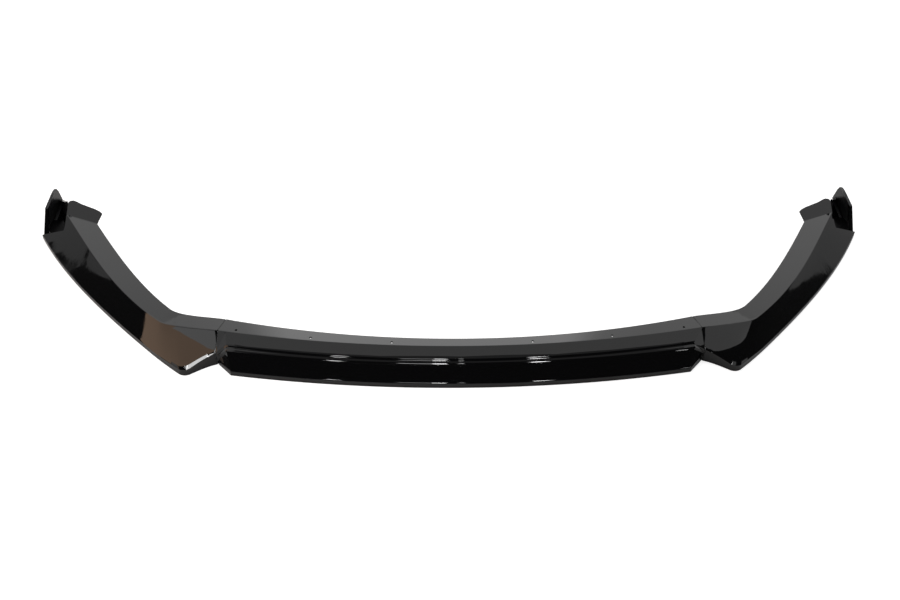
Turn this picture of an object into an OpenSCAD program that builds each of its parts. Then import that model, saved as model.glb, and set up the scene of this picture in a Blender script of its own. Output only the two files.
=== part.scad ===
// Front splitter lip in three moulded sections with upright end fins.
// X runs across the car, Y towards the rear, Z up. The lip rests on the foot of its rim.

/* [Overall sizes] */
// Width over both wings
overall_width = 1800; // [1600:10:2000]
// Depth from the middle of the rim to the rear corner of a wing
wing_depth = 524; // [440:4:600]
// Height of the fold between blade and bolting flange
fold_height = 54; // [46:1:66]
// Wall of the mouldings
wall = 3; // [2:0.5:4]

/* [Centre section] */
// Half the width of the centre section at the joints
joint_x = 454; // [420:2:480]
// How far the rim bows forward between the joints
rim_bow = 47; // [30:1:60]
// Upright part of the rim below the panel
rim_height = 9; // [6:0.5:14]
// Height of the rim at the joints, where the panel runs out
joint_rim_height = 25; // [20:1:34]
// Length of each slanted panel end
panel_end = 28; // [16:1:40]

/* [Wings] */
// How far a wing's nose stands in front of the joint
nose_reach = 34; // [20:1:40]
// Height of the upright face at the tip of the nose
nose_height = 13; // [10:1:20]
// Height of the rim along the run of a wing
wing_rim = 8; // [5:0.5:12]
// Length of the tab up its slope
tab_reach = 34.5; // [20:0.5:44]
// How steeply the tab rises behind the flange, in degrees
tab_rise = 46; // [30:1:70]
// Space left between two sections at a joint
joint_gap = 1.4; // [0.4:0.1:2]

/* [End fins] */
// Height of a fin's tip above the ground
fin_height = 76; // [60:1:90]
// Length of a fin from its front edge to its rear edge
fin_length = 118; // [90:1:130]
// How far a fin leans inwards, in degrees
fin_lean = 7; // [2:1:12]
// How far a fin turns in towards its rear, in degrees
fin_toe = 4; // [0:1:8]

/* [Fastenings] */
// Diameter of the holes for the screws into the bumper
bumper_hole = 5; // [4:0.5:7]
// Spacing of the inner pair of bumper holes
inner_pair = 260; // [200:10:320]
// Spacing of the middle pair of bumper holes
middle_pair = 560; // [460:10:620]
// Spacing of the outer pair of bumper holes
outer_pair = 840; // [760:4:850]
// Diameter of a joint screw's shank
screw_shank = 4; // [3:0.5:5]

/* [Hidden] */
gloss_black = [0.03, 0.03, 0.035];
zinc = [0.62, 0.63, 0.64];
$fn = 48;
half_width = overall_width / 2;
// The wings' control points are drawn for a half width of 900, a depth of 524 and a joint at 454
// and stretched from the joint outwards.
front_y = -44;
wing_x = (half_width - joint_x) / (900 - 454);
wing_y = wing_depth / 524;
flange_rise = 2;
flange_height = fold_height + flange_rise;

// Plain sums on points and lines

function unit(v) = v / norm(v);
function mix(a, b, t) = a + (b - a) * t;
// Point at t on the curve with the four control points c
function bezier(c, t) =
    pow(1 - t, 3) * c[0] + 3 * t * pow(1 - t, 2) * c[1] + 3 * t * t * (1 - t) * c[2] + pow(t, 3) * c[3];
// Right-hand normal of the line from a to b, in a plane of width and height
function right_of(a, b) = let (v = unit(b - a)) [v[1], -v[0]];
// A line moved to its right by a distance, with mitred corners, its first point kept on the ground
function inset(line, by) = [
    for (k = [0 : len(line) - 1])
        k == 0 ? [line[0][0] + by, line[0][1]]
        : k == len(line) - 1 ? line[k] + by * right_of(line[k - 1], line[k])
        : let (a = right_of(line[k - 1], line[k]), b = right_of(line[k], line[k + 1]))
            line[k] + by * (a + b) / (1 + a * b)
];
// Distance of each point of a line from its start, along the line
function distances(line, k = 0, done = [0]) =
    k == len(line) - 1 ? done
    : distances(line, k + 1, concat(done, [done[k] + norm(line[k + 1] - line[k])]));
// The inner skin below one row of outer points: the kept points are moved in by the wall,
// and those between them lie on straight lines
function inner_row(row, kept, by) =
    let (last = row[len(row) - 1])
    let (way = unit([last[0] - row[0][0], last[1] - row[0][1]]))
    let (side = [-way[1], way[0]])
    let (flat = [for (p = row) [p[0] - row[0][0], p[1] - row[0][1]]])
    let (moved = inset([for (k = kept) [flat[k] * way, row[k][2]]], by))
    let (reach = distances(row))
    [
        for (k = [0 : len(row) - 1])
            let (along = lookup(reach[k], [for (j = [0 : len(kept) - 1]) [reach[kept[j]], moved[j][0]]]))
            let (height = lookup(reach[k], [for (j = [0 : len(kept) - 1]) [reach[kept[j]], moved[j][1]]]))
            let (across = flat[k] * side)
            [
                row[0][0] + along * way[0] + across * side[0],
                row[0][1] + along * way[1] + across * side[1],
                height
            ]
    ];
// Outer points followed by the inner ones backwards: one closed section of the shell
function closed_row(row, kept, by) =
    let (inner = inner_row(row, kept, by))
    concat(row, [for (k = [len(row) - 1 : -1 : 0]) inner[k]]);

// Shell through a list of closed sections. A tail, if there is one, carries on from the middle
// points of the last section, so that the outer points before them end there.
module loft(rows, tail = [], first = 0) {
    count = len(rows[0]);
    far = (len(rows) - 1) * count;
    narrow = count - 2 * first;
    // index of the first point of tail section i, counted from the last full section
    function tail_base(i) = i == 0 ? far + first : far + count + (i - 1) * narrow;
    sides = [
        for (i = [0 : len(rows) - 2], k = [0 : count - 1])
            let (a = i * count + k, b = i * count + (k + 1) % count)
            each [[a, b, b + count], [a, b + count, a + count]]
    ];
    tail_sides = [
        for (i = [0 : 1 : len(tail) - 1], k = [0 : narrow - 1])
            let (a = tail_base(i) + k, b = tail_base(i) + (k + 1) % narrow)
            let (c = tail_base(i + 1) + (k + 1) % narrow, d = tail_base(i + 1) + k)
            each [[a, b, c], [a, c, d]]
    ];
    start_cap = [
        for (k = [0 : count / 2 - 2])
            each [[k, count - 2 - k, k + 1], [k, count - 1 - k, count - 2 - k]]
    ];
    step_cap = [
        for (k = [0 : 1 : (len(tail) == 0 ? count / 2 - 2 : first - 1)])
            let (a = far + k, b = far + k + 1, c = far + count - 2 - k, d = far + count - 1 - k)
            each [[a, b, c], [a, c, d]]
    ];
    end_cap = [
        for (k = [0 : 1 : (len(tail) == 0 ? -1 : narrow / 2 - 2)])
            let (e = tail_base(len(tail)))
            each [[e + k, e + k + 1, e + narrow - 2 - k], [e + k, e + narrow - 2 - k, e + narrow - 1 - k]]
    ];
    polyhedron(
        points = [for (row = concat(rows, tail)) each row],
        faces = concat(sides, tail_sides, start_cap, step_cap, end_cap)
    );
}

// Centre section

// Each line along the section: depth at the middle, bow, half width at the panel's corner, height
crease_bow = rim_bow + 6;
corner_x = joint_x - panel_end;
centre_lines = [
    [front_y, rim_bow, corner_x, 0],
    [front_y, rim_bow, corner_x, rim_height],
    [-19, rim_bow, corner_x + 8, fold_height - 21.5],
    [-18, rim_bow + 1, corner_x + 9, fold_height - 18.5],
    [-13, rim_bow + 3, corner_x + 9.5, fold_height - 16],
    [-11.5, rim_bow + 5, corner_x + 10, fold_height - 12.5],
    [9, crease_bow, corner_x + 13, fold_height - 0.9],
    [11, crease_bow, corner_x + 13, fold_height + 0.1],
    [13.5, crease_bow + 1, corner_x + 13, fold_height + 0.4],
    [31, rim_bow + 22, corner_x + 4, flange_height]
];
centre_kept = [0, 1, 5, 7, 9];
// Depth of line k at x
function line_y(k, x) = centre_lines[k][0] + centre_lines[k][1] * pow(x / joint_x, 2);
function centre_row(u) = [
    for (k = [0 : len(centre_lines) - 1])
        let (x = u * centre_lines[k][2])
        [x, line_y(k, x), centre_lines[k][3]]
];
// Where the three plan lines meet a joint: rim, fold and the flange's rear edge
rim_end = [joint_x, line_y(0, joint_x) + 28];
fold_end = [joint_x, line_y(7, joint_x)];
flange_end = [joint_x - 11, line_y(9, joint_x - 11)];
// The top of the rim leans out past its foot there
joint_lean = 4;
function joint_row(side) = [
    for (p = [
        [rim_end[0], rim_end[1], 0],
        [rim_end[0] + joint_lean, rim_end[1], joint_rim_height],
        [rim_end[0] + joint_lean, rim_end[1] + 0.5, joint_rim_height + 1],
        [rim_end[0] + joint_lean, rim_end[1] + 1, joint_rim_height + 1.9],
        [rim_end[0] + joint_lean, rim_end[1] + 1.6, joint_rim_height + 2.7],
        [rim_end[0] + joint_lean, rim_end[1] + 2.4, joint_rim_height + 3.5],
        [fold_end[0] + 0.2, fold_end[1] - 2, fold_height - 0.9],
        [fold_end[0], fold_end[1], fold_height + 0.1],
        [fold_end[0], fold_end[1] + 2.5, fold_height + 0.4],
        [flange_end[0], flange_end[1], flange_height]
    ]) [side * (p[0] - joint_gap / 2), p[1], p[2]]
];
centre_steps = 30;
// The panel narrows to a tip just short of the joint, with the rim's thin face below it
tip_share = 0.95;
tip_heights = [
    0, rim_height - 0.5, rim_height + 9, rim_height + 11.5, rim_height + 14, rim_height + 17.5
];
function tip_row(side) = [
    for (k = [0 : len(centre_lines) - 1])
        let (foot = mix(centre_row(1)[0], joint_row(1)[0], tip_share))
        let (p = mix(centre_row(1)[k], joint_row(1)[k], tip_share))
        k > 5 ? [side * p[0], p[1], p[2]]
        : [
            side * (foot[0] + joint_lean * tip_heights[k] / joint_rim_height),
            foot[1] + k * 0.5,
            tip_heights[k]
        ]
];
bumper_holes = [for (pitch = [inner_pair, middle_pair, outer_pair], side = [-1, 1])
    [side * pitch / 2, line_y(7, pitch / 2) + 7.5]];

// Joints: four screws in a row under the flange hold a plate to both sections

joint_turn = 8;
joint_centre = [joint_x, (fold_end[1] + flange_end[1]) / 2 + 1];
joint_stations = [-35, -15, 15, 35];
boss_radius = 5.5;
plate_thick = 3;
plate_round = 9;
boss_foot = fold_height - 12;
boss_top = fold_height - 0.4;
screw_length = 9;

module at_joint() {
    translate([joint_centre[0], joint_centre[1], 0]) rotate([0, 0, joint_turn]) children();
}

module joint_bosses(stations) {
    at_joint() for (s = stations) translate([s, 0, boss_foot])
        cylinder(r = boss_radius, h = boss_top - boss_foot);
}

module joint_bores(stations) {
    at_joint() for (s = stations) translate([s, 0, boss_foot - 1])
        cylinder(d = screw_shank + 0.2, h = screw_length + 1.5);
}

module centre_moulding() {
    rows = concat(
        [joint_row(-1), tip_row(-1)],
        [for (i = [-centre_steps : centre_steps]) centre_row(i / centre_steps)],
        [tip_row(1), joint_row(1)]
    );
    color(gloss_black) difference() {
        union() {
            loft([for (row = rows) closed_row(row, centre_kept, wall)]);
            joint_bosses([joint_stations[0], joint_stations[1]]);
            mirror([1, 0, 0]) joint_bosses([joint_stations[0], joint_stations[1]]);
        }
        for (hole = bumper_holes) translate([hole[0], hole[1], fold_height - 8])
            cylinder(d = bumper_hole, h = 16);
        joint_bores([joint_stations[0], joint_stations[1]]);
        mirror([1, 0, 0]) joint_bores([joint_stations[0], joint_stations[1]]);
    }
}

// Wings

// A wing's control point, drawn from the joint's end points
function from_rim(x, y) = [rim_end[0] + (x - 454) * wing_x, rim_end[1] + (y - 31) * wing_y];
function from_fold(x, y) = [fold_end[0] + (x - 454) * wing_x, fold_end[1] + (y - 64) * wing_y];
function from_flange(x, y) = [flange_end[0] + (x - 443) * wing_x, flange_end[1] + (y - 97) * wing_y];
nose_y = 31 - nose_reach;
// Four stretches each: nose front, nose tip, nose flank, run
foot_curves = [
    [from_rim(454, 31), from_rim(471, 25), from_rim(486, 13), from_rim(500, nose_y + 5)],
    [from_rim(500, nose_y + 5), from_rim(506, nose_y), from_rim(514, nose_y), from_rim(521, nose_y + 5)],
    [from_rim(521, nose_y + 5), from_rim(541, 20), from_rim(560, 39), from_rim(580, 60)],
    [from_rim(580, 60), from_rim(700, 190), from_rim(814, 325), from_rim(900, 480)]
];
fold_curves = [
    [from_fold(454, 64), from_fold(471, 66.5), from_fold(488, 70), from_fold(505, 73)],
    [from_fold(505, 73), from_fold(513, 74.5), from_fold(524, 77), from_fold(533, 79)],
    [from_fold(533, 79), from_fold(546, 82), from_fold(557, 84.5), from_fold(567, 92.5)],
    [from_fold(567, 92.5), from_fold(682, 201), from_fold(757, 347), from_fold(840, 488)]
];
flange_curves = [
    [from_flange(443, 97), from_flange(460, 101), from_flange(478, 103.5), from_flange(497, 107)],
    [from_flange(497, 107), from_flange(505, 108.8), from_flange(514, 110.8), from_flange(522, 113.3)],
    [from_flange(522, 113.3), from_flange(533, 116.8), from_flange(544, 122), from_flange(553, 130.5)],
    [from_flange(553, 130.5), from_flange(631, 214), from_flange(699, 331), from_flange(767, 450)]
];
// Height of the upright rim face and of the slanted strip above it at the ends of the stretches
face_heights = [joint_rim_height, nose_height + 1, nose_height - 1, wing_rim + 1.5, wing_rim];
strip_heights = [3.5, 6, 5, 2.5, 1.5];
wing_steps = [10, 10, 12, 30];
// A notch behind the blade starts this far along the fold's run and leaves a strip beside the
// fold, which narrows to the tab. The strip is a share of the blade, at its start and its end.
notch_start = 0.87;
strip_share = [0.36, 0.06];
function beside_fold(t) = t - (1 - notch_start) * pow(t, 6);

// Outer points of a wing's section: foot, face, strip, blade, fold, flange
function wing_row(stretch, t, inner_t, share = strip_share[0]) =
    let (foot = bezier(foot_curves[stretch], t))
    let (fold = bezier(fold_curves[stretch], inner_t))
    let (edge = bezier(flange_curves[stretch], inner_t))
    let (face = mix(face_heights[stretch], face_heights[stretch + 1], t))
    let (strip = mix(strip_heights[stretch], strip_heights[stretch + 1], t))
    let (inward = unit(fold - foot))
    let (lip = foot + inward * strip * 0.8)
    let (low = [lip[0], lip[1], face + strip])
    let (high = [fold[0], fold[1], fold_height])
    let (back = unit(edge - fold))
    let (blade = mix(high, low, share))
    let (short_of = mix(high, low, 2.4 / norm(high - low)))
    let (lean = stretch == 0 ? [joint_lean * (1 - t), 0, 0] : [0, 0, 0])
    [
        [foot[0], foot[1], 0],
        [foot[0], foot[1], face] + lean,
        low + lean,
        blade,
        [short_of[0], short_of[1], short_of[2] + 0.3],
        [high[0], high[1], high[2] + 0.1],
        [high[0] + back[0] * 2.5, high[1] + back[1] * 2.5, high[2] + 0.4],
        [edge[0], edge[1], flange_height]
    ];
wing_kept = [0, 1, 2, 5, 7];

wing_rows = concat(
    [for (s = [0 : 2], i = [0 : wing_steps[s] - 1]) wing_row(s, i / wing_steps[s], i / wing_steps[s])],
    [for (i = [0 : wing_steps[3]]) wing_row(3, i / wing_steps[3], beside_fold(i / wing_steps[3]))]
);
// The first row stands off the joint by half the gap
function off_joint(rows) = [
    for (i = [0 : len(rows) - 1])
        i > 0 ? rows[i] : [for (p = rows[0]) [p[0] + joint_gap / 2, p[1], p[2]]]
];
// The strip beside the fold runs on past the notch to the tab
notch_point = 3;
tail_steps = 4;
tail_rows = [
    for (i = [1 : tail_steps])
        let (t = i / tail_steps)
        let (share = mix(strip_share[0], strip_share[1], t))
        let (row = closed_row(wing_row(3, 1, mix(notch_start, 1, t), share), wing_kept, wall))
        [for (k = [notch_point : len(row) - 1 - notch_point]) row[k]]
];

// Straight run between two plan points, used for the upright walls at the tail
function turn_of(a, b) = atan2(b[1] - a[1], b[0] - a[0]);

tail_fold = bezier(fold_curves[3], 1);
tail_edge = bezier(flange_curves[3], 1);
tab_width = norm(tail_fold - tail_edge);

// Leaning tab, drawn along the line from the flange's rear corner to the end of the fold. Its
// upper side starts at the flange's top.
module tab() {
    translate([tail_edge[0], tail_edge[1], flange_height])
        rotate([0, 0, turn_of(tail_edge, tail_fold)])
        rotate([0, asin(flange_rise / tab_width), 0])
        rotate([tab_rise, 0, 0]) translate([0, 0, -wall])
        linear_extrude(wall) polygon([
            [0, -4], [tab_width - 1, -4], [tab_width + 2, 2], [tab_width + 4, tab_reach * 0.3],
            [tab_width + 7.5, tab_reach * 0.68], [tab_width + 8, tab_reach * 0.8],
            [tab_width + 5, tab_reach * 0.92], [tab_width - 4, tab_reach],
            [tab_width - 12, tab_reach * 0.98], [tab_width * 0.69, tab_reach * 0.91],
            [tab_width * 0.4, tab_reach * 0.86], [tab_width * 0.22, tab_reach * 0.83],
            [5, tab_reach * 0.77], [-2.5, tab_reach * 0.69], [-3.5, tab_reach * 0.6], [-1, 6]
        ]);
}

fin_bosses = [[846, 437], [862, 453]];
fin_boss_foot = 15;
function at_tail(p) = from_rim(p[0], p[1]);
// Everything is drawn with the joints' plan points as the base, and then moved so that the
// origin lies on the ground at the middle of the whole lip
fin_foot = at_tail([899.5, 485]);
middle_y = (front_y + fin_foot[1] + fin_length) / 2;
module placed() { translate([0, -middle_y, 0]) children(); }

// What lies under the rear of the blade, just short of its outer skin
module under_blade() {
    loft([
        for (row = [for (i = [11 : wing_steps[3]]) wing_rows[len(wing_rows) - 1 - wing_steps[3] + i]])
            let (top = [for (k = [2, 3, 5]) row[k] - [0, 0, 1.2]])
            concat(top, [for (k = [2 : -1 : 0]) [top[k][0], top[k][1], 0]])
    ]);
}

module right_moulding() {
    color(gloss_black) difference() {
        union() {
            loft([for (row = off_joint(wing_rows)) closed_row(row, wing_kept, wall)],
                tail_rows, notch_point);
            tab();
            joint_bosses([joint_stations[2], joint_stations[3]]);
            intersection() {
                under_blade();
                for (p = fin_bosses) translate([at_tail(p)[0], at_tail(p)[1], fin_boss_foot])
                    cylinder(r = boss_radius, h = fold_height - fin_boss_foot);
            }
        }
        joint_bores([joint_stations[2], joint_stations[3]]);
        for (p = fin_bosses) translate([at_tail(p)[0], at_tail(p)[1], fin_boss_foot - 1])
            cylinder(d = screw_shank + 0.2, h = 8);
    }
}

module centre_section() { placed() centre_moulding(); }
module right_section() { placed() right_moulding(); }
module left_section() { mirror([1, 0, 0]) right_section(); }

// End fins

fin_gap = 0.3;
// Plan points of the fin's inner side: the strake runs rearwards beside the plate, and a wall
// comes back from the plate's rear to the corner beside the tab
strake_front = at_tail([887.5, 510]);
strake_back = at_tail([883, 590]);
wall_back = at_tail([888.5, 598]);
wall_side = at_tail([840.2, 510.5]);
fin_plate = 4.5;
fin_rake = [fin_length * 0.18, fin_height * 0.81];
post_widths = [12, 6];
post_depth = 6;
strake_width = 6;
strake_low = 8;
strake_high = 30;
wall_high = fold_height + 21;
tongue_thick = 3;
tongue_base = fin_boss_foot - fin_gap - tongue_thick;

// Rows of the leaning plate from its top down to below the ground: height, front edge, rear edge, and
// the width of the post along its front edge, which is widest at the ground
fin_rows = [
    [fin_height, fin_length * 0.6, fin_length * 0.67, post_widths[1]],
    [fin_height * 0.97, fin_length * 0.51, fin_length * 0.73, post_widths[1]],
    [fin_rake[1], fin_rake[0], fin_length * 0.82, post_widths[1]],
    [fin_height * 0.36, fin_height * 0.36 / fin_rake[1] * fin_rake[0], fin_length,
        post_widths[0] + (post_widths[1] - post_widths[0]) * fin_height * 0.36 / fin_rake[1]],
    [-10, -10 / fin_rake[1] * fin_rake[0], fin_length * 0.95, post_widths[0]]
];

function fin_row(r) = [
    [0, r[1], r[0]], [0, r[1] + post_depth / 2, r[0]], [0, r[1] + post_depth, r[0]], [0, r[2], r[0]],
    [-fin_plate, r[2], r[0]], [-fin_plate, r[1] + post_depth, r[0]],
    [-r[3], r[1] + post_depth, r[0]], [-r[3], r[1], r[0]]
];

module leaning() {
    translate([fin_foot[0], fin_foot[1], 0]) rotate([0, 0, fin_toe]) rotate([0, -fin_lean, 0]) children();
}

module standing_sheet(a, b, thick, outline) {
    translate([a[0], a[1], 0]) rotate([0, 0, turn_of(a, b)]) rotate([90, 0, 0])
        translate([0, 0, -thick]) linear_extrude(thick) polygon(outline);
}

module right_fin() {
    run = norm(strake_back - strake_front);
    side = norm(wall_side - wall_back);
    color(gloss_black) difference() {
        union() {
            intersection() {
                leaning() loft([for (r = fin_rows) fin_row(r)]);
                cube([half_width * 2, wing_depth * 3, fin_height * 2]);
            }
            standing_sheet(strake_front, strake_back, wall,
                [[-15, 0], [-15, strake_low - 3], [run, strake_high], [run, 0]]);
            standing_sheet(strake_front, strake_back, strake_width,
                [[-15, strake_low - 6.5], [-15, strake_low - 3], [run, strake_high], [run, strake_high - 3.5]]);
            standing_sheet(wall_back, wall_side, wall,
                [[0, 0], [0, strake_high + 2], [side, wall_high], [side, tongue_base + 1.2]]);
            standing_sheet(wall_back, wall_side, strake_width,
                [[0, strake_high - 1.5], [0, strake_high + 2], [side, wall_high], [side, wall_high - 3.5]]);
            translate([0, 0, tongue_base]) linear_extrude(tongue_thick) polygon([for (p = [
                [889, 500], [880, 474], [865, 447], [850, 425], [837, 428], [836, 444], [845, 468],
                [842, 511], [884, 588], [892, 575], [895, 503]
            ]) at_tail(p)]);
        }
        for (p = fin_bosses) translate([at_tail(p)[0], at_tail(p)[1], tongue_base - 1])
            cylinder(d = screw_shank + 0.4, h = tongue_thick + 2);
    }
}

module right_end_fin() { placed() right_fin(); }
module left_end_fin() { mirror([1, 0, 0]) right_end_fin(); }

// Plates and screws

module joiner() {
    color(zinc) at_joint() translate([0, 0, boss_foot - plate_thick]) difference() {
        linear_extrude(plate_thick) {
            for (s = [joint_stations[0], joint_stations[3]]) translate([s, 0]) circle(r = plate_round);
            translate([joint_stations[0], -plate_round])
                square([joint_stations[3] - joint_stations[0], plate_round * 2]);
        }
        for (s = joint_stations) translate([s, 0, -1])
            cylinder(d = screw_shank + 0.4, h = plate_thick + 2);
    }
}

// Pan-head screw standing head down, its head's bearing face at z = 0
module screw(length) {
    color(zinc) rotate_extrude() polygon([
        [0, -2.4], [screw_shank * 0.7, -2.4], [screw_shank * 0.92, -1.6], [screw_shank * 0.95, -0.6],
        [screw_shank * 0.95, 0], [screw_shank / 2, 0], [screw_shank / 2, length - 1.2],
        [screw_shank / 2 - 0.8, length], [0, length]
    ]);
}

module right_joint_screw(k) {
    placed() at_joint() translate([joint_stations[k - 1], 0, boss_foot - plate_thick])
        screw(plate_thick + screw_length - 1);
}

module left_joint_screw(k) { mirror([1, 0, 0]) right_joint_screw(k); }

module right_fin_screw(k) {
    p = at_tail(fin_bosses[k - 1]);
    placed() translate([p[0], p[1], tongue_base]) screw(tongue_thick + 7);
}

module left_fin_screw(k) { mirror([1, 0, 0]) right_fin_screw(k); }

module right_joiner_plate() { placed() joiner(); }
module left_joiner_plate() { mirror([1, 0, 0]) right_joiner_plate(); }

centre_section();
left_section();
right_section();
left_end_fin();
right_end_fin();
left_joiner_plate();
right_joiner_plate();
left_joint_screw(1);  // left_joint_screw_1
left_joint_screw(2);  // left_joint_screw_2
left_joint_screw(3);  // left_joint_screw_3
left_joint_screw(4);  // left_joint_screw_4
right_joint_screw(1);  // right_joint_screw_1
right_joint_screw(2);  // right_joint_screw_2
right_joint_screw(3);  // right_joint_screw_3
right_joint_screw(4);  // right_joint_screw_4
left_fin_screw(1);  // left_fin_screw_1
left_fin_screw(2);  // left_fin_screw_2
right_fin_screw(1);  // right_fin_screw_1
right_fin_screw(2);  // right_fin_screw_2
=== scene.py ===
"""Front splitter lip: three gloss-black mouldings with end fins, on a plain pale studio floor."""

import math

import bmesh
import bpy
from mathutils import Matrix, Vector
from mathutils.bvhtree import BVHTree


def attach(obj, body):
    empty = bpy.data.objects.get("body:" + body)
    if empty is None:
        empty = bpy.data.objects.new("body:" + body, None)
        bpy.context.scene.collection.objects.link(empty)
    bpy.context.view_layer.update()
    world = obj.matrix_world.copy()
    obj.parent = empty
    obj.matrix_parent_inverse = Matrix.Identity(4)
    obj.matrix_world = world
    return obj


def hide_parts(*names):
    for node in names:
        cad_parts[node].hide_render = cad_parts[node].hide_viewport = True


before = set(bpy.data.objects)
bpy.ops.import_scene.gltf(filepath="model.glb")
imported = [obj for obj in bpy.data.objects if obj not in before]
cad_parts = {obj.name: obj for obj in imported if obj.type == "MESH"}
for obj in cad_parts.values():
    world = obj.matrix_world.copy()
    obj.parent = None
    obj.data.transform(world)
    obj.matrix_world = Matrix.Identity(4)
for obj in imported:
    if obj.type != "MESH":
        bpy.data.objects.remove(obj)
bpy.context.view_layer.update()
MM = 0.001


# Camera: in front of the lip, 35 degrees above it and a little to the left of its middle, turned
# 2.3 degrees to the right and rolled by 1 degree

PICTURE_WIDTH = 900
SENSOR_WIDTH = 36
FOCAL_PIXELS = 1078.778
CAMERA_PLACE = Vector((-0.0883, -1.8384, 1.2573))
CAMERA_YAW = 0.040486
CAMERA_ROLL = 0.0174258
CAMERA_DOWN = math.radians(35)
CLIP_START, CLIP_END = 0.05, 100


def make_camera():
    level = Vector((math.cos(CAMERA_YAW), -math.sin(CAMERA_YAW), 0))
    ahead = Vector((math.sin(CAMERA_YAW), math.cos(CAMERA_YAW), 0))
    forward = ahead * math.cos(CAMERA_DOWN) - Vector((0, 0, math.sin(CAMERA_DOWN)))
    above = level.cross(forward)
    right = level * math.cos(CAMERA_ROLL) + above * math.sin(CAMERA_ROLL)
    up = above * math.cos(CAMERA_ROLL) - level * math.sin(CAMERA_ROLL)
    data = bpy.data.cameras.new("camera")
    data.sensor_width = SENSOR_WIDTH
    data.lens = FOCAL_PIXELS / PICTURE_WIDTH * SENSOR_WIDTH
    data.clip_start, data.clip_end = CLIP_START, CLIP_END
    camera = bpy.data.objects.new("camera", data)
    bpy.context.scene.collection.objects.link(camera)
    turn = Matrix((right, up, -forward)).transposed().to_4x4()
    camera.matrix_world = Matrix.Translation(CAMERA_PLACE) @ turn
    bpy.context.scene.camera = camera


make_camera()


# Small helpers for materials


def linear(hex_colour):
    """sRGB hex to the linear colour that a socket takes."""
    values = [int(hex_colour[i : i + 2], 16) / 255 for i in (1, 3, 5)]
    return [v / 12.92 if v <= 0.04045 else ((v + 0.055) / 1.055) ** 2.4 for v in values] + [1]


def add(tree, kind, settings=None, **inputs):
    """Adds a node. A value that is a socket is linked, and any other is set on the input itself.
    An input is given by its name, with _ for a space, or by its number after a _."""
    node = tree.nodes.new(kind)
    for name, value in (settings or {}).items():
        setattr(node, name, value)
    for name, value in inputs.items():
        key = int(name[1:]) if name[0] == "_" else name.replace("_", " ")
        if isinstance(value, bpy.types.NodeSocket):
            tree.links.new(value, node.inputs[key])
        else:
            node.inputs[key].default_value = value
    return node


def new_material(name):
    material = bpy.data.materials.new(name)
    material.use_nodes = True
    material.node_tree.nodes.clear()
    return material, material.node_tree


def object_place(tree):
    return add(tree, "ShaderNodeTexCoord").outputs["Object"]


def gloss_black_abs():
    """ABS moulded in a polished tool and left unpainted: near black, mirror-bright, with the long
    soft waves of a large moulding and faint rubbed patches that dull the mirror a little."""
    material, tree = new_material("gloss_black_ABS_polished_moulding")
    place = object_place(tree)
    # sink waves, some 90 mm from crest to crest
    waves = add(tree, "ShaderNodeTexNoise", Vector=place, Scale=11.0, Detail=1.0, Roughness=0.4)
    # orange peel of the skin, drawn at 6 mm where the real one is about 2 mm
    peel = add(tree, "ShaderNodeTexNoise", Vector=place, Scale=160.0, Detail=2.0, Roughness=0.5)
    # rubbed patches of 40 mm, and hairline wiping marks along the lip, 25 mm long and 1.4 mm wide
    rubs = add(tree, "ShaderNodeTexNoise", Vector=place, Scale=25.0, Detail=4.0, Roughness=0.6)
    along = add(tree, "ShaderNodeMapping", Vector=place, Scale=(40, 700, 700))
    hairs = add(tree, "ShaderNodeTexNoise", Vector=along.outputs["Vector"], Scale=1.0, Detail=2.0)
    dulled = add(
        tree, "ShaderNodeMapRange", Value=rubs.outputs["Fac"],
        From_Min=0.45, From_Max=0.75, To_Min=0.02, To_Max=0.05,
    )
    marked = add(
        tree, "ShaderNodeMath", {"operation": "MULTIPLY_ADD"},
        _0=hairs.outputs["Fac"], _1=0.012, _2=dulled.outputs["Result"],
    )
    wavy = add(
        tree, "ShaderNodeBump", Height=waves.outputs["Fac"], Strength=1.0, Distance=0.16 * MM
    )
    skin = add(
        tree, "ShaderNodeBump", Height=peel.outputs["Fac"], Strength=1.0, Distance=0.01 * MM,
        Normal=wavy.outputs["Normal"],
    )
    shader = add(
        tree, "ShaderNodeBsdfPrincipled", Base_Color=linear("#050506"), IOR=1.52,
        Roughness=marked.outputs["Value"], Normal=skin.outputs["Normal"],
    )
    add(tree, "ShaderNodeOutputMaterial", Surface=shader.outputs["BSDF"])
    return material


def satin_black_abs():
    """The mouldings' inner side, from the unpolished half of the tool, and the up-facing top of the
    rib inside each fin, where its lighter black is also a painted highlight for the overhead light:
    even black with a fine spark grain of about 0.7 mm, which spreads the light softly."""
    material, tree = new_material("satin_black_ABS_inner_side")
    place = object_place(tree)
    grain = add(tree, "ShaderNodeTexNoise", Vector=place, Scale=1400.0, Detail=2.0, Roughness=0.6)
    blooms = add(tree, "ShaderNodeTexNoise", Vector=place, Scale=18.0, Detail=3.0, Roughness=0.55)
    rough = add(
        tree, "ShaderNodeMapRange", Value=blooms.outputs["Fac"],
        From_Min=0.3, From_Max=0.7, To_Min=0.34, To_Max=0.46,
    )
    tone = add(
        tree, "ShaderNodeMix", {"data_type": "RGBA"}, Factor=blooms.outputs["Fac"],
        _6=linear("#141415"), _7=linear("#1b1b1d"),
    )
    bump = add(
        tree, "ShaderNodeBump", Height=grain.outputs["Fac"], Strength=0.6, Distance=0.04 * MM
    )
    shader = add(
        tree, "ShaderNodeBsdfPrincipled", Base_Color=tone.outputs[2], IOR=1.5,
        Roughness=rough.outputs["Result"], Normal=bump.outputs["Normal"],
    )
    add(tree, "ShaderNodeOutputMaterial", Surface=shader.outputs["BSDF"])
    return material


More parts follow.
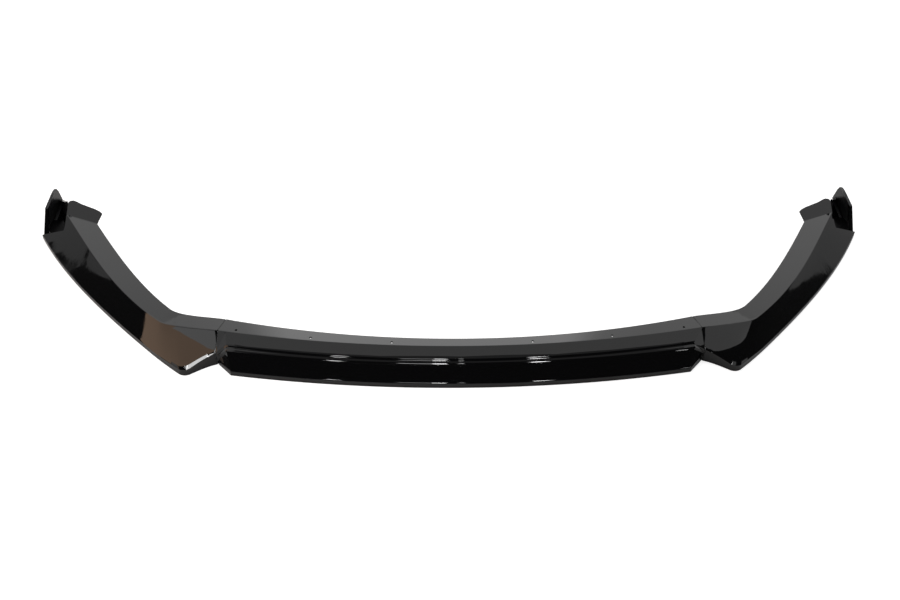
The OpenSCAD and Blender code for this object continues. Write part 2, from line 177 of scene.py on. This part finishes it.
def zinc_steel():
    """Steel with a bright zinc plating, as on small hardware: pale, slightly blue metal with a
    faint cloudiness of some 3 mm."""
    material, tree = new_material("zinc_plated_steel")
    clouds = add(
        tree, "ShaderNodeTexNoise", Vector=object_place(tree), Scale=320.0, Detail=3.0,
        Roughness=0.6,
    )
    tone = add(
        tree, "ShaderNodeMix", {"data_type": "RGBA"}, Factor=clouds.outputs["Fac"],
        _6=linear("#a9acb0"), _7=linear("#c6c8ca"),
    )
    rough = add(
        tree, "ShaderNodeMapRange", Value=clouds.outputs["Fac"],
        From_Min=0.3, From_Max=0.7, To_Min=0.24, To_Max=0.38,
    )
    bump = add(
        tree, "ShaderNodeBump", Height=clouds.outputs["Fac"], Strength=0.3, Distance=0.05 * MM
    )
    shader = add(
        tree, "ShaderNodeBsdfPrincipled", Base_Color=tone.outputs[2], Metallic=1.0,
        Roughness=rough.outputs["Result"], Normal=bump.outputs["Normal"],
    )
    add(tree, "ShaderNodeOutputMaterial", Surface=shader.outputs["BSDF"])
    return material


GLOSS = gloss_black_abs()
SATIN = satin_black_abs()
ZINC = zinc_steel()


# Mouldings: the frame's own shapes with their edges rounded as a tool rounds them

FINS = ["left_end_fin", "right_end_fin"]
MOULDINGS = ["centre_section", "left_section", "right_section"] + FINS
# Points closer than this are one, and faces that turn by less than FLAT_WITHIN are one. Edges that
# turn by more than EDGE_FROM are rounded. Those that still turn by more than SPLIT_FROM afterwards
# are shaded sharp.
SAME_POINT = 0.01 * MM
FLAT_WITHIN = math.radians(0.2)
EDGE_ROUND = 0.9 * MM
EDGE_STEPS = 5
EDGE_FROM = math.radians(17)
SPLIT_FROM = math.radians(40)
# Long edges of the centre section with a larger radius: lowest and highest z, and how far the
# rounding reaches from the edge
SOFT_EDGES = [
    (8.2 * MM, 9.8 * MM, 2.4 * MM),
    (34.9 * MM, 36.1 * MM, 2.9 * MM),
    (37.4 * MM, 38.6 * MM, 1.7 * MM),
    (40.9 * MM, 42.1 * MM, 1.9 * MM),
]
# The rib that runs rearwards inside an end fin: how far from the middle, how far back, and the
# height that it stays below
RIB_ACROSS = (875.5 * MM, 888.5 * MM)
RIB_BACK = (225 * MM, 320 * MM)
RIB_BELOW = 35 * MM
FACES_UP = 0.85
# An inner side has some of the piece above it, seen from just off its face, and faces up by less
# than this
INNER_FACES_UP = 0.5
PROBE_FROM = 0.4 * MM


def turned(edge, angle):
    return len(edge.link_faces) == 2 and edge.calc_face_angle() > angle


def round_edges(bm, edges, radius):
    bmesh.ops.bevel(
        bm, geom=edges, offset=radius, offset_type="OFFSET", segments=EDGE_STEPS, profile=0.5,
        affect="EDGES", material=-1, clamp_overlap=True,
    )


def is_rib_top(place, normal):
    """The up-facing top of the rib inside an end fin, which takes the lighter grained black as a
    painted highlight.
    """
    across = RIB_ACROSS[0] < abs(place.x) < RIB_ACROSS[1]
    back = RIB_BACK[0] < place.y < RIB_BACK[1]
    return across and back and normal.z > FACES_UP and place.z < RIB_BELOW


def rounded(node):
    """A piece with the node's shape: doubles merged, flat faces joined, sharp edges rounded."""
    bm = bmesh.new()
    bm.from_mesh(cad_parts[node].data)
    bmesh.ops.remove_doubles(bm, verts=bm.verts, dist=SAME_POINT)
    bmesh.ops.dissolve_limit(
        bm, angle_limit=FLAT_WITHIN, verts=bm.verts, edges=bm.edges, delimit=set()
    )
    unrounded = BVHTree.FromBMesh(bm)
    if node == "centre_section":
        for low, high, radius in SOFT_EDGES:
            level = [e for e in bm.edges if all(low < v.co.z < high for v in e.verts)]
            round_edges(bm, [e for e in level if turned(e, EDGE_FROM)], radius)
    round_edges(bm, [e for e in bm.edges if turned(e, EDGE_FROM)], EDGE_ROUND)
    bmesh.ops.remove_doubles(bm, verts=bm.verts, dist=SAME_POINT)
    for face in bm.faces:
        face.smooth = True
        place = face.calc_center_median() + face.normal * PROBE_FROM
        covered = unrounded.ray_cast(place, Vector((0, 0, 1)))[0] is not None
        inner_side = covered and face.normal.z < INNER_FACES_UP
        # the rib's up-facing top gets the lighter satin black: grain, and a painted highlight for
        # the light above it
        rib_top_painted_lighter = node in FINS and is_rib_top(place, face.normal)
        face.material_index = 1 if inner_side or rib_top_painted_lighter else 0
    for edge in bm.edges:
        if turned(edge, SPLIT_FROM):
            edge.smooth = False
    mesh = bpy.data.meshes.new(node + "_moulded")
    bm.to_mesh(mesh)
    bm.free()
    mesh.materials.append(GLOSS)
    mesh.materials.append(SATIN)
    piece = bpy.data.objects.new(node + "_moulded", mesh)
    bpy.context.scene.collection.objects.link(piece)
    weighted = piece.modifiers.new("normals by face size", "WEIGHTED_NORMAL")
    weighted.keep_sharp = True
    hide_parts(node)
    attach(piece, "root")


for name in MOULDINGS:
    rounded(name)

for name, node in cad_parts.items():
    if name not in MOULDINGS:
        node.data.materials.clear()
        node.data.materials.append(ZINC)


# Studio: a pale floor, a white surround, soft cards that the gloss mirrors, and dark cloths

FILL_LIGHT = 0.55  # what the surround gives as plain light
FLOOR_LIFT = 0.7  # what the floor gives off, to the camera alone
FLOOR_REACH = 30


def seen_directly(tree):
    """1 for what the camera sees and for what shows in gloss and glass, 0 for plain light."""
    path = add(tree, "ShaderNodeLightPath")
    camera_or_gloss = add(
        tree, "ShaderNodeMath", {"operation": "MAXIMUM"},
        _0=path.outputs["Is Camera Ray"], _1=path.outputs["Is Glossy Ray"],
    )
    return add(
        tree, "ShaderNodeMath", {"operation": "MAXIMUM"},
        _0=camera_or_gloss.outputs["Value"], _1=path.outputs["Is Transmission Ray"],
    ).outputs["Value"]


def surround():
    world = bpy.data.worlds.new("white studio")
    bpy.context.scene.world = world
    world.use_nodes = True
    tree = world.node_tree
    tree.nodes.clear()
    fill = add(tree, "ShaderNodeBackground", Color=linear("#ffffff"), Strength=FILL_LIGHT)
    white = add(tree, "ShaderNodeBackground", Color=linear("#ffffff"), Strength=1.0)
    mixed = add(
        tree, "ShaderNodeMixShader", _0=seen_directly(tree),
        _1=fill.outputs["Background"], _2=white.outputs["Background"],
    )
    add(tree, "ShaderNodeOutputWorld", Surface=mixed.outputs["Shader"])


def pale_floor_paint():
    """Pale matt paint. Only to the camera it is lifted to the white of the surround."""
    material, tree = new_material("pale_studio_floor")
    paint = add(tree, "ShaderNodeBsdfDiffuse", Color=linear("#e6e6e6"))
    lift = add(tree, "ShaderNodeEmission", Color=linear("#ffffff"), Strength=FLOOR_LIFT)
    raised = add(
        tree, "ShaderNodeAddShader", _0=paint.outputs["BSDF"], _1=lift.outputs["Emission"]
    )
    camera = add(tree, "ShaderNodeLightPath").outputs["Is Camera Ray"]
    mixed = add(
        tree, "ShaderNodeMixShader", _0=camera,
        _1=paint.outputs["BSDF"], _2=raised.outputs["Shader"],
    )
    add(tree, "ShaderNodeOutputMaterial", Surface=mixed.outputs["Shader"])
    return material


def sheet(name, corners, material, to_camera=False):
    """A flat stage sheet through its corners, in metres."""
    bm = bmesh.new()
    bm.faces.new([bm.verts.new(c) for c in corners])
    mesh = bpy.data.meshes.new(name)
    bm.to_mesh(mesh)
    bm.free()
    mesh.materials.append(material)
    card = bpy.data.objects.new(name, mesh)
    bpy.context.scene.collection.objects.link(card)
    card.visible_camera = to_camera
    return card


def only_mirrored(card, shades=False):
    """Takes a sheet out of the plain light, and its shadow too unless it shades."""
    card.visible_diffuse = False
    card.visible_shadow = shades


def glow(name, strength, colour="#ffffff"):
    material, tree = new_material(name)
    light = add(tree, "ShaderNodeEmission", Color=linear(colour), Strength=strength)
    add(tree, "ShaderNodeOutputMaterial", Surface=light.outputs["Emission"])
    return material


def graded_glow(name, stops, mirrored=False):
    """A white glow whose strength follows x through stops of (x, strength)."""
    material, tree = new_material(name)
    x = add(tree, "ShaderNodeSeparateXYZ", Vector=object_place(tree)).outputs["X"]
    if mirrored:
        x = add(tree, "ShaderNodeMath", {"operation": "ABSOLUTE"}, _0=x).outputs["Value"]
    level = stops[0][1]
    for (x0, _), (x1, strength) in zip(stops, stops[1:]):
        level = add(
            tree, "ShaderNodeMapRange", {"interpolation_type": "SMOOTHSTEP"}, Value=x,
            From_Min=x0, From_Max=x1, To_Min=level, To_Max=strength,
        ).outputs["Result"]
    light = add(tree, "ShaderNodeEmission", Color=linear("#ffffff"), Strength=level)
    add(tree, "ShaderNodeOutputMaterial", Surface=light.outputs["Emission"])
    return material


def oblong(a, b):
    """Corners of the oblong between two ranges."""
    return [(a[0], b[0]), (a[1], b[0]), (a[1], b[1]), (a[0], b[1])]


def upright_sheet(name, x, y, z, material):
    """A sheet across the room at one y."""
    return sheet(name, [(px, y, pz) for px, pz in oblong(x, z)], material)


def level_sheet(name, x, y, z, material):
    return sheet(name, [(px, py, z) for px, py in oblong(x, y)], material)


def side_sheet(name, x, outline, material):
    """A sheet along the room at one x, through points of (y, z)."""
    return sheet(name, [(x, y, z) for y, z in outline], material)


surround()
floor_corners = oblong((-FLOOR_REACH, FLOOR_REACH), (-FLOOR_REACH, FLOOR_REACH))
sheet("studio_floor", [(x, y, 0) for x, y in floor_corners], pale_floor_paint(), to_camera=True)

# The room's planes that carry cards and cloths. The camera's side of the room is dark from
# DARK_FROM on.
LEFT_WALL, RIGHT_WALL = -3.5, 3.5
FRONT_WALL, REAR_WALL = -6, 3.4
CEILING = 2.5
DARK_FROM = -0.66
CLOTH_TOP = 1.9

# Strengths and colours that more than one card has
SOFT_WHITE = 0.84
WARM = "#ffd9bb"
WARM_GLOW = 1.6
dark_cloth = glow("black_flag_cloth", 0.03)
grey_cloth = glow("grey_flag_cloth", 0.31)

# overhead softbox, a brighter end at its rear left and a piece that carries it on at the front left
level_sheet(
    "overhead_softbox", (-1.75, 2.4), (DARK_FROM, 1.4), CEILING,
    graded_glow("overhead_glow", [(1.7, SOFT_WHITE), (1.9, 0.6)]),
)
level_sheet(
    "overhead_softbox_rear_left", (-2.2, -1.75), (0, 1.4), CEILING, glow("rear_left_glow", 1.55)
)
level_sheet(
    "overhead_softbox_front_left", (-2.1, -1.5), (-1.6, DARK_FROM), CEILING,
    glow("front_left_glow", SOFT_WHITE),
)
# rear softbox, which the flange mirrors: brightest in its middle
upright_sheet(
    "rear_softbox", (-2.6, 2.6), REAR_WALL, (3.15, 5.0),
    graded_glow(
        "rear_softbox_glow", [(0.0, 2.9), (0.95, 2.9), (1.3, 1.5), (1.6, 1.35)], mirrored=True
    ),
)
# dark side of the room, behind and above the camera
only_mirrored(
    level_sheet("front_ceiling_flag", (-6, 6), (FRONT_WALL, DARK_FROM), CEILING + 0.05, dark_cloth)
)
only_mirrored(upright_sheet("front_wall_flag", (-6, 6), FRONT_WALL, (0, 2.6), dark_cloth))

# left side: a dark cloth whose leaning edge ends in a narrow fold, a grey cloth just behind it, and
# a warm board in line with the nose
LEFT_LEAN = [(0.88, 0), (0.92, 0.38), (0.96, 0.41), (1.015, 0.51), (1.12, 0.62), (1.22, 0.685)]
LEFT_FOLD = [
    (1.26, 0.699), (1.34, 0.72), (1.42, 0.730), (1.46, 0.734), (1.60, 0.752), (1.75, 0.768),
    (1.75, 0.79), (1.60, 0.782), (1.53, 0.772), (1.45, 0.76), (1.38, 0.748), (1.25, 0.709),
]
side_sheet(
    "left_flag", LEFT_WALL,
    [(0.1, 0)] + LEFT_LEAN + LEFT_FOLD + [(1.2, CLOTH_TOP), (0.1, CLOTH_TOP)], dark_cloth,
)
side_sheet("left_grey_flag", LEFT_WALL - 0.01, oblong((0.1, 3.0), (0, CLOTH_TOP)), grey_cloth)
side_sheet("left_front_flag", LEFT_WALL, oblong((FRONT_WALL, -1.0), (0, 2.6)), dark_cloth)
side_sheet(
    "left_board", LEFT_WALL, oblong((-1.0, 0.1), (0.25, CEILING)),
    glow("warm_board", WARM_GLOW, WARM),
)
side_sheet(
    "left_board_foot", LEFT_WALL, oblong((-1.0, 0.1), (0, 0.25)), glow("board_foot", 0.6, "#ffdfc4")
)
level_sheet(
    "left_board_top", (LEFT_WALL, -1.75), (-1.0, 0), CEILING, glow("board_top", WARM_GLOW, WARM)
)

# right side: a dark cloth with a leaning edge, a grey one beside it, and a grey board above
RIGHT_TOP = [(0.0, 2.15), (-0.12, 1.95), (-0.27, 1.93), (-0.5, 2.05), (-0.8, 2.13), (-1.6, 2.1)]
RIGHT_LEAN = [
    (0.68, 0), (0.75, 0.07), (0.78, 0.09), (0.90, 0.195), (1.02, 0.31), (1.17, 0.45), (1.30, 0.50),
    (1.37, 0.535),
]
side_sheet(
    "right_flag", RIGHT_WALL,
    [(FRONT_WALL, 0)] + RIGHT_LEAN + [(1.37, 2.3), (0.05, 2.3)] + RIGHT_TOP + [(FRONT_WALL, 2.1)],
    dark_cloth,
)
side_sheet(
    "right_grey_flag", RIGHT_WALL, RIGHT_LEAN + [(1.37, CLOTH_TOP), (3.0, CLOTH_TOP), (3.0, 0)],
    grey_cloth,
)
side_sheet(
    "right_board", RIGHT_WALL, RIGHT_TOP + [(-1.6, 4.2), (0.2, 4.2)], glow("right_board", 0.6)
)

# small cards beside the rear tabs, one on each side
TAB_CARD_OUT = 1.6
for side, label in ((-1, "left"), (1, "right")):
    side_sheet(
        f"tab_card_{label}", side * TAB_CARD_OUT, oblong((0.0, 0.17), (0.45, 0.75)),
        glow(f"tab_card_{side}", 0.8),
    )

# strip lamps behind the camera, which draw short bright dashes on the rounded edges: each one's
# two ends in x and its strength
LAMPS = [(-1.14, -1.07, 70), (-0.47, -0.14, 10), (-0.14, -0.01, 70), (0.84, 0.96, 70)]
LAMP_HEIGHT = 2.4
for number, (low, high, strength) in enumerate(LAMPS):
    level_sheet(
        f"strip_lamp_{number + 1}", (low, high), (-3.25, -2.65), LAMP_HEIGHT,
        glow(f"strip_lamp_{number + 1}", strength),
    )

# long softbox, mirrored by the narrow front face of the left nose
NOSE_SOFTBOX = [(0.3, -3.5), (2.85, -3.35), (2.85, -2.9), (1.2, -2.9), (0.1, -2.2), (0.1, -2.6)]
only_mirrored(
    sheet(
        "nose_softbox", [(x, y, CEILING) for x, y in NOSE_SOFTBOX], glow("nose_softbox_glow", 14)
    ),
    shades=True,
)
# low black cards that keep the long softbox off the centre section, with a gap for the last lamp
for number, across in enumerate([(0.03, 0.235), (0.3, 0.75)]):
    only_mirrored(
        upright_sheet(f"nose_softbox_flag_{number + 1}", across, -0.72, (0.2, 0.62), dark_cloth),
        shades=True,
    )


def near_card(name, outline, height, material):
    """A small card held just above a moulding, out of the light of everything else."""
    only_mirrored(sheet(name, [(x, y, height) for x, y in outline], material))


# cards over the noses: each nose shows a light upper part and another tone below a slanting line
OVER_NOSE = 0.065
LEFT_SLANT = [
    (-0.551, -0.205), (-0.5415, -0.208), (-0.532, -0.212), (-0.523, -0.218), (-0.514, -0.223),
    (-0.504, -0.2285), (-0.496, -0.234), (-0.488, -0.240), (-0.480, -0.246), (-0.469, -0.257),
    (-0.4615, -0.264),
]
LEFT_TOP = [
    (-0.4625, -0.246), (-0.4636, -0.219), (-0.476, -0.216), (-0.491, -0.212), (-0.506, -0.209),
    (-0.5226, -0.204), (-0.541, -0.202),
]
RIGHT_SLANT = [
    (0.4655, -0.270), (0.4716, -0.2674), (0.4828, -0.2633), (0.4957, -0.2576), (0.5087, -0.2522),
    (0.5318, -0.2453), (0.548, -0.240), (0.5714, -0.232), (0.5807, -0.224), (0.580, -0.216),
    (0.574, -0.2075), (0.572, -0.199),
]
RIGHT_TOP_EDGE = [
    (0.558, -0.196), (0.537, -0.199), (0.515, -0.205), (0.495, -0.2106), (0.475, -0.216),
    (0.4662, -0.2185),
]
near_card("left_nose_top_card", LEFT_SLANT + LEFT_TOP, OVER_NOSE, glow("left_nose_glow", 1.5))
near_card(
    "left_nose_low_card", LEFT_SLANT + [(-0.4612, -0.29), (-0.60, -0.29), (-0.60, -0.205)],
    OVER_NOSE, glow("left_nose_warm", WARM_GLOW, WARM),
)
near_card(
    "right_nose_top_card", RIGHT_SLANT + RIGHT_TOP_EDGE, OVER_NOSE,
    glow("right_nose_glow", SOFT_WHITE),
)
near_card(
    "right_nose_low_card", RIGHT_SLANT + [(0.66, -0.19), (0.66, -0.30), (0.4655, -0.30)],
    OVER_NOSE, dark_cloth,
)
near_card(
    "right_nose_front_card", [(0.47, -0.345), (0.535, -0.345), (0.535, -0.30), (0.47, -0.295)],
    OVER_NOSE, glow("right_nose_front_glow", 0.8),
)
# upright strip in the left joint's plane, which keeps the warm card out of the centre section
LEFT_JOINT = -0.4547
only_mirrored(
    side_sheet(
        "left_nose_side_strip", LEFT_JOINT,
        [
            (-0.30, 0.020), (-0.2487, 0.026), (-0.2439, 0.0315), (-0.2323, 0.0413),
            (-0.2241, 0.0485), (-0.21, 0.0545), (-0.21, 0.066), (-0.2487, 0.066),
            (-0.2487, 0.044), (-0.30, 0.040),
        ],
        glow("near_strip_glow", SOFT_WHITE),
    )
)
# narrow grey card along the shelf between the two steps of the raised panel
OVER_SHELF = 0.075
SHELF_REAR, SHELF_FRONT = 0.003, 0.016
SHELF_LINE = [
    (-0.432, -0.249), (-0.409, -0.255), (-0.368, -0.262), (-0.298, -0.273), (-0.224, -0.2826),
    (-0.151, -0.2893), (0.0, -0.2935), (0.178, -0.2873), (0.291, -0.274), (0.368, -0.262),
    (0.4065, -0.2555), (0.4305, -0.250),
]
near_card(
    "shelf_card",
    [(x, y + SHELF_REAR) for x, y in SHELF_LINE]
    + [(x, y - SHELF_FRONT) for x, y in reversed(SHELF_LINE)],
    OVER_SHELF, glow("shelf_card_cloth", 0.25),
)


scene = bpy.context.scene
scene.view_settings.view_transform = "Standard"
